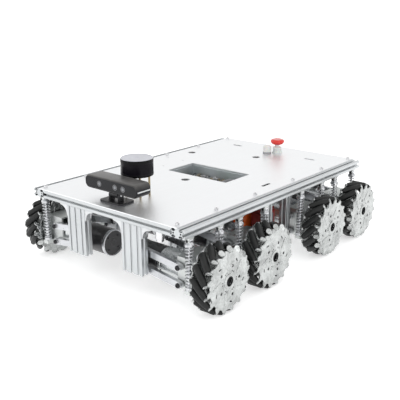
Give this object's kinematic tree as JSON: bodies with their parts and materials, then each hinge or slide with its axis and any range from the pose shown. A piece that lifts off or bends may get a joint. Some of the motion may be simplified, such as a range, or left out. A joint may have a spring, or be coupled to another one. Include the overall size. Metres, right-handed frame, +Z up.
{
  "type": "mecanum wheel robot",
  "caption": "Low mobile robot base with mecanum wheels on sprung parallel links, an aluminium extrusion frame, a flat deck with a hatch, a scanner, a depth camera and a stop button.",
  "frame": {"origin": "on the floor, under the middle of the box round the robot", "axes": "+X forward, towards the depth camera; +Y to the robot's left, along the wheel axles; +Z up"},
  "size_m": [0.744, 0.6, 0.284],
  "materials": {
    "wheel_plate": "bright tumbled aluminium, stamped",
    "roller_rubber": "charcoal moulded rubber, satin",
    "carrier": "grey anodised machined aluminium",
    "link": "clear anodised bar",
    "extrusion": "clear anodised extrusion",
    "cast_bracket": "cast, bead blasted",
    "deck": "fine silver anodised sheet",
    "steel_bolt": "zinc plated",
    "black_bolt": "black oxide",
    "spring_steel": "bright spring wire",
    "shock_alloy": "turned, polished",
    "battery_wrap": "orange-red heat-shrunk film",
    "electronics": "green circuit board with modules",
    "sheet_metal": "bent sheet, satin",
    "black_plastic": "fine-textured black moulding",
    "scanner_black": "dark infrared-clear window and cap",
    "estop_red": "bright red moulding",
    "pale_plastic": "off-white moulding"
  },
  "bodies": {
    "chassis": {"battery_pack": "battery_wrap", "beacon": "pale_plastic", "belly_plate": "sheet_metal", "camera_bracket": "black_bolt", "charge_socket": "steel_bolt", "control_electronics": "electronics", "deck_fasteners": "steel_bolt", "deck_plate": "deck", "electronics_tray": "sheet_metal", "estop_base": "pale_plastic", "frame_posts": "extrusion", "frame_rails": "extrusion", "gussets": "cast_bracket", "lidar_housing": "scanner_black", "pivot_pins": "steel_bolt", "shock_rods": "shock_alloy", "shock_springs": "spring_steel"},
    "scanner_rotor": {"lidar_rotor": "black_plastic"},
    "depth_camera": {"camera_body": "black_plastic"},
    "stop_button": {"estop_head": "estop_red"},
    "lower_links_left_1": {"lower_links_left_1": "link"},
    "upper_links_left_1": {"upper_links_left_1": "link"},
    "drive_left_1": {"drive_unit_left_1": "carrier"},
    "wheel_left_1": {"hub_left_1": "wheel_plate", "rollers_left_1": "roller_rubber"},
    "lower_links_left_2": {"lower_links_left_2": "link"},
    "upper_links_left_2": {"upper_links_left_2": "link"},
    "drive_left_2": {"drive_unit_left_2": "carrier"},
    "wheel_left_2": {"hub_left_2": "wheel_plate", "rollers_left_2": "roller_rubber"},
    "lower_links_left_3": {"lower_links_left_3": "link"},
    "upper_links_left_3": {"upper_links_left_3": "link"},
    "drive_left_3": {"drive_unit_left_3": "carrier"},
    "wheel_left_3": {"hub_left_3": "wheel_plate", "rollers_left_3": "roller_rubber"},
    "lower_links_left_4": {"lower_links_left_4": "link"},
    "upper_links_left_4": {"upper_links_left_4": "link"},
    "drive_left_4": {"drive_unit_left_4": "carrier"},
    "wheel_left_4": {"hub_left_4": "wheel_plate", "rollers_left_4": "roller_rubber"},
    "lower_links_right_1": {"lower_links_right_1": "link"},
    "upper_links_right_1": {"upper_links_right_1": "link"},
    "drive_right_1": {"drive_unit_right_1": "carrier"},
    "wheel_right_1": {"hub_right_1": "wheel_plate", "rollers_right_1": "roller_rubber"},
    "lower_links_right_2": {"lower_links_right_2": "link"},
    "upper_links_right_2": {"upper_links_right_2": "link"},
    "drive_right_2": {"drive_unit_right_2": "carrier"},
    "wheel_right_2": {"hub_right_2": "wheel_plate", "rollers_right_2": "roller_rubber"},
    "lower_links_right_3": {"lower_links_right_3": "link"},
    "upper_links_right_3": {"upper_links_right_3": "link"},
    "drive_right_3": {"drive_unit_right_3": "carrier"},
    "wheel_right_3": {"hub_right_3": "wheel_plate", "rollers_right_3": "roller_rubber"},
    "lower_links_right_4": {"lower_links_right_4": "link"},
    "upper_links_right_4": {"upper_links_right_4": "link"},
    "drive_right_4": {"drive_unit_right_4": "carrier"},
    "wheel_right_4": {"hub_right_4": "wheel_plate", "rollers_right_4": "roller_rubber"}
  },
  "joints": [
    {"name": "suspension_left_1", "type": "hinge", "parent": "chassis", "child": "lower_links_left_1", "pos_m": [0.296, 0.09, 0.07], "axis": [1, 0, 0], "range_deg": [0, 10], "stiffness_Nm_per_rad": 20, "springref_deg": -11.46, "deforming": ["shock_springs"]},
    {"name": "upper_link_left_1", "type": "hinge", "parent": "chassis", "child": "upper_links_left_1", "pos_m": [0.296, 0.09, 0.11], "axis": [1, 0, 0], "range_deg": [0, 10]},
    {"name": "carrier_left_1", "type": "hinge", "parent": "lower_links_left_1", "child": "drive_left_1", "pos_m": [0.296, 0.202, 0.056], "axis": [1, 0, 0], "range_deg": [-10, 0]},
    {"name": "spin_left_1", "type": "hinge", "parent": "drive_left_1", "child": "wheel_left_1", "pos_m": [0.296, 0.2725, 0.076], "axis": [0, 1, 0], "continuous": true},
    {"name": "suspension_left_2", "type": "hinge", "parent": "chassis", "child": "lower_links_left_2", "pos_m": [0.128, 0.09, 0.07], "axis": [1, 0, 0], "range_deg": [0, 10], "stiffness_Nm_per_rad": 20, "springref_deg": -11.46, "deforming": ["shock_springs"]},
    {"name": "upper_link_left_2", "type": "hinge", "parent": "chassis", "child": "upper_links_left_2", "pos_m": [0.128, 0.09, 0.11], "axis": [1, 0, 0], "range_deg": [0, 10]},
    {"name": "carrier_left_2", "type": "hinge", "parent": "lower_links_left_2", "child": "drive_left_2", "pos_m": [0.128, 0.202, 0.056], "axis": [1, 0, 0], "range_deg": [-10, 0]},
    {"name": "spin_left_2", "type": "hinge", "parent": "drive_left_2", "child": "wheel_left_2", "pos_m": [0.128, 0.2725, 0.076], "axis": [0, 1, 0], "continuous": true},
    {"name": "suspension_left_3", "type": "hinge", "parent": "chassis", "child": "lower_links_left_3", "pos_m": [-0.128, 0.09, 0.07], "axis": [1, 0, 0], "range_deg": [0, 10], "stiffness_Nm_per_rad": 20, "springref_deg": -11.46, "deforming": ["shock_springs"]},
    {"name": "upper_link_left_3", "type": "hinge", "parent": "chassis", "child": "upper_links_left_3", "pos_m": [-0.128, 0.09, 0.11], "axis": [1, 0, 0], "range_deg": [0, 10]},
    {"name": "carrier_left_3", "type": "hinge", "parent": "lower_links_left_3", "child": "drive_left_3", "pos_m": [-0.128, 0.202, 0.056], "axis": [1, 0, 0], "range_deg": [-10, 0]},
    {"name": "spin_left_3", "type": "hinge", "parent": "drive_left_3", "child": "wheel_left_3", "pos_m": [-0.128, 0.2725, 0.076], "axis": [0, 1, 0], "continuous": true},
    {"name": "suspension_left_4", "type": "hinge", "parent": "chassis", "child": "lower_links_left_4", "pos_m": [-0.296, 0.09, 0.07], "axis": [1, 0, 0], "range_deg": [0, 10], "stiffness_Nm_per_rad": 20, "springref_deg": -11.46, "deforming": ["shock_springs"]},
    {"name": "upper_link_left_4", "type": "hinge", "parent": "chassis", "child": "upper_links_left_4", "pos_m": [-0.296, 0.09, 0.11], "axis": [1, 0, 0], "range_deg": [0, 10]},
    {"name": "carrier_left_4", "type": "hinge", "parent": "lower_links_left_4", "child": "drive_left_4", "pos_m": [-0.296, 0.202, 0.056], "axis": [1, 0, 0], "range_deg": [-10, 0]},
    {"name": "spin_left_4", "type": "hinge", "parent": "drive_left_4", "child": "wheel_left_4", "pos_m": [-0.296, 0.2725, 0.076], "axis": [0, 1, 0], "continuous": true},
    {"name": "suspension_right_1", "type": "hinge", "parent": "chassis", "child": "lower_links_right_1", "pos_m": [0.296, -0.09, 0.07], "axis": [-1, 0, 0], "range_deg": [0, 10], "stiffness_Nm_per_rad": 20, "springref_deg": -11.46, "deforming": ["shock_springs"]},
    {"name": "upper_link_right_1", "type": "hinge", "parent": "chassis", "child": "upper_links_right_1", "pos_m": [0.296, -0.09, 0.11], "axis": [-1, 0, 0], "range_deg": [0, 10]},
    {"name": "carrier_right_1", "type": "hinge", "parent": "lower_links_right_1", "child": "drive_right_1", "pos_m": [0.296, -0.202, 0.056], "axis": [-1, 0, 0], "range_deg": [-10, 0]},
    {"name": "spin_right_1", "type": "hinge", "parent": "drive_right_1", "child": "wheel_right_1", "pos_m": [0.296, -0.2725, 0.076], "axis": [0, 1, 0], "continuous": true},
    {"name": "suspension_right_2", "type": "hinge", "parent": "chassis", "child": "lower_links_right_2", "pos_m": [0.128, -0.09, 0.07], "axis": [-1, 0, 0], "range_deg": [0, 10], "stiffness_Nm_per_rad": 20, "springref_deg": -11.46, "deforming": ["shock_springs"]},
    {"name": "upper_link_right_2", "type": "hinge", "parent": "chassis", "child": "upper_links_right_2", "pos_m": [0.128, -0.09, 0.11], "axis": [-1, 0, 0], "range_deg": [0, 10]},
    {"name": "carrier_right_2", "type": "hinge", "parent": "lower_links_right_2", "child": "drive_right_2", "pos_m": [0.128, -0.202, 0.056], "axis": [-1, 0, 0], "range_deg": [-10, 0]},
    {"name": "spin_right_2", "type": "hinge", "parent": "drive_right_2", "child": "wheel_right_2", "pos_m": [0.128, -0.2725, 0.076], "axis": [0, 1, 0], "continuous": true},
    {"name": "suspension_right_3", "type": "hinge", "parent": "chassis", "child": "lower_links_right_3", "pos_m": [-0.128, -0.09, 0.07], "axis": [-1, 0, 0], "range_deg": [0, 10], "stiffness_Nm_per_rad": 20, "springref_deg": -11.46, "deforming": ["shock_springs"]},
    {"name": "upper_link_right_3", "type": "hinge", "parent": "chassis", "child": "upper_links_right_3", "pos_m": [-0.128, -0.09, 0.11], "axis": [-1, 0, 0], "range_deg": [0, 10]},
    {"name": "carrier_right_3", "type": "hinge", "parent": "lower_links_right_3", "child": "drive_right_3", "pos_m": [-0.128, -0.202, 0.056], "axis": [-1, 0, 0], "range_deg": [-10, 0]},
    {"name": "spin_right_3", "type": "hinge", "parent": "drive_right_3", "child": "wheel_right_3", "pos_m": [-0.128, -0.2725, 0.076], "axis": [0, 1, 0], "continuous": true},
    {"name": "suspension_right_4", "type": "hinge", "parent": "chassis", "child": "lower_links_right_4", "pos_m": [-0.296, -0.09, 0.07], "axis": [-1, 0, 0], "range_deg": [0, 10], "stiffness_Nm_per_rad": 20, "springref_deg": -11.46, "deforming": ["shock_springs"]},
    {"name": "upper_link_right_4", "type": "hinge", "parent": "chassis", "child": "upper_links_right_4", "pos_m": [-0.296, -0.09, 0.11], "axis": [-1, 0, 0], "range_deg": [0, 10]},
    {"name": "carrier_right_4", "type": "hinge", "parent": "lower_links_right_4", "child": "drive_right_4", "pos_m": [-0.296, -0.202, 0.056], "axis": [-1, 0, 0], "range_deg": [-10, 0]},
    {"name": "spin_right_4", "type": "hinge", "parent": "drive_right_4", "child": "wheel_right_4", "pos_m": [-0.296, -0.2725, 0.076], "axis": [0, 1, 0], "continuous": true},
    {"name": "camera_tilt", "type": "hinge", "parent": "chassis", "child": "depth_camera", "pos_m": [0.325, 0, 0.212], "axis": [0, 1, 0], "range_deg": [-10, 15]},
    {"name": "scanner_spin", "type": "hinge", "parent": "chassis", "child": "scanner_rotor", "pos_m": [0.257, 0, 0.25], "axis": [0, 0, 1], "continuous": true},
    {"name": "stop_press", "type": "slide", "parent": "chassis", "child": "stop_button", "axis": [0, 0, 1], "range_m": [-0.005, 0]}
  ],
  "couplings": [
    {"joint": "upper_link_left_1", "follows": "suspension_left_1", "ratio": 1},
    {"joint": "carrier_left_1", "follows": "suspension_left_1", "ratio": -1},
    {"joint": "upper_link_left_2", "follows": "suspension_left_2", "ratio": 1},
    {"joint": "carrier_left_2", "follows": "suspension_left_2", "ratio": -1},
    {"joint": "upper_link_left_3", "follows": "suspension_left_3", "ratio": 1},
    {"joint": "carrier_left_3", "follows": "suspension_left_3", "ratio": -1},
    {"joint": "upper_link_left_4", "follows": "suspension_left_4", "ratio": 1},
    {"joint": "carrier_left_4", "follows": "suspension_left_4", "ratio": -1},
    {"joint": "upper_link_right_1", "follows": "suspension_right_1", "ratio": 1},
    {"joint": "carrier_right_1", "follows": "suspension_right_1", "ratio": -1},
    {"joint": "upper_link_right_2", "follows": "suspension_right_2", "ratio": 1},
    {"joint": "carrier_right_2", "follows": "suspension_right_2", "ratio": -1},
    {"joint": "upper_link_right_3", "follows": "suspension_right_3", "ratio": 1},
    {"joint": "carrier_right_3", "follows": "suspension_right_3", "ratio": -1},
    {"joint": "upper_link_right_4", "follows": "suspension_right_4", "ratio": 1},
    {"joint": "carrier_right_4", "follows": "suspension_right_4", "ratio": -1}
  ]
}
